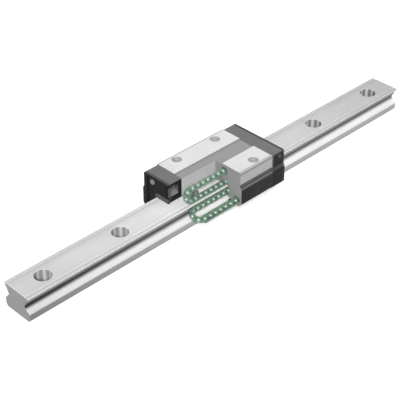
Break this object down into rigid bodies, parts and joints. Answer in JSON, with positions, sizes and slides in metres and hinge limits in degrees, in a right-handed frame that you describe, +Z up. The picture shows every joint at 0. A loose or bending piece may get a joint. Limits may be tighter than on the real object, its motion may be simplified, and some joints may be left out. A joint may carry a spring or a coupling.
{
  "type": "linear guide",
  "caption": "Cutaway radial linear guide: bolt-down ground rail and a low carriage with one quarter open on its caged ball circuits.",
  "frame": {"origin": "on the bed under the middle of the rail", "axes": "+X along the rail to its far end, +Y to the left, +Z up, out of the bed"},
  "size_m": [0.34, 0.048, 0.033],
  "materials": {
    "rail_steel": "ground hardened steel, satin",
    "block_steel": "ground hardened steel, satin, darker cast skin below the ledge",
    "end_plate_resin": "moulded dark grey resin",
    "seal_core_steel": "pressed sheet steel",
    "seal_rubber": "moulded black nitrile rubber",
    "screw_steel": "plated steel",
    "guide_resin": "moulded resin",
    "sleeve_resin": "moulded resin",
    "cage_resin": "moulded green resin",
    "ball_steel": "polished bearing steel",
    "retainer_resin": "moulded grey resin"
  },
  "bodies": {
    "rail": {"rail": "rail_steel"},
    "carriage": {"ball_cage_lower_left": "cage_resin", "ball_cage_lower_right": "cage_resin", "ball_cage_upper_left": "cage_resin", "ball_cage_upper_right": "cage_resin", "ball_retainer_corner_left": "retainer_resin", "ball_retainer_corner_right": "retainer_resin", "ball_retainer_lower_left": "retainer_resin", "ball_retainer_lower_right": "retainer_resin", "ball_retainer_upper": "retainer_resin", "balls_lower_left": "ball_steel", "balls_lower_right": "ball_steel", "balls_upper_left": "ball_steel", "balls_upper_right": "ball_steel", "block": "block_steel", "end_plate_far": "end_plate_resin", "end_plate_near": "end_plate_resin", "grease_plug_far": "seal_rubber", "grease_plug_near": "seal_rubber", "return_sleeve_lower_left": "sleeve_resin", "return_sleeve_lower_right": "sleeve_resin", "return_sleeve_upper_left": "sleeve_resin", "return_sleeve_upper_right": "sleeve_resin", "seal_core_far": "seal_core_steel", "seal_core_near": "seal_core_steel", "seal_rubber_far": "seal_rubber", "seal_rubber_near": "seal_rubber", "seal_screws_far": "screw_steel", "seal_screws_near": "screw_steel", "side_seal_lip_left": "seal_rubber", "side_seal_lip_right": "seal_rubber", "side_seal_strip_left": "seal_core_steel", "side_seal_strip_right": "seal_core_steel", "turn_guide_far_lower_left": "guide_resin", "turn_guide_far_lower_right": "guide_resin", "turn_guide_far_upper_left": "guide_resin", "turn_guide_far_upper_right": "guide_resin", "turn_guide_near_lower_left": "guide_resin", "turn_guide_near_upper_left": "guide_resin"}
  },
  "joints": [
    {"name": "carriage_slide", "type": "slide", "parent": "rail", "child": "carriage", "axis": [1, 0, 0], "range_m": [-0.1204, 0.1356]}
  ]
}
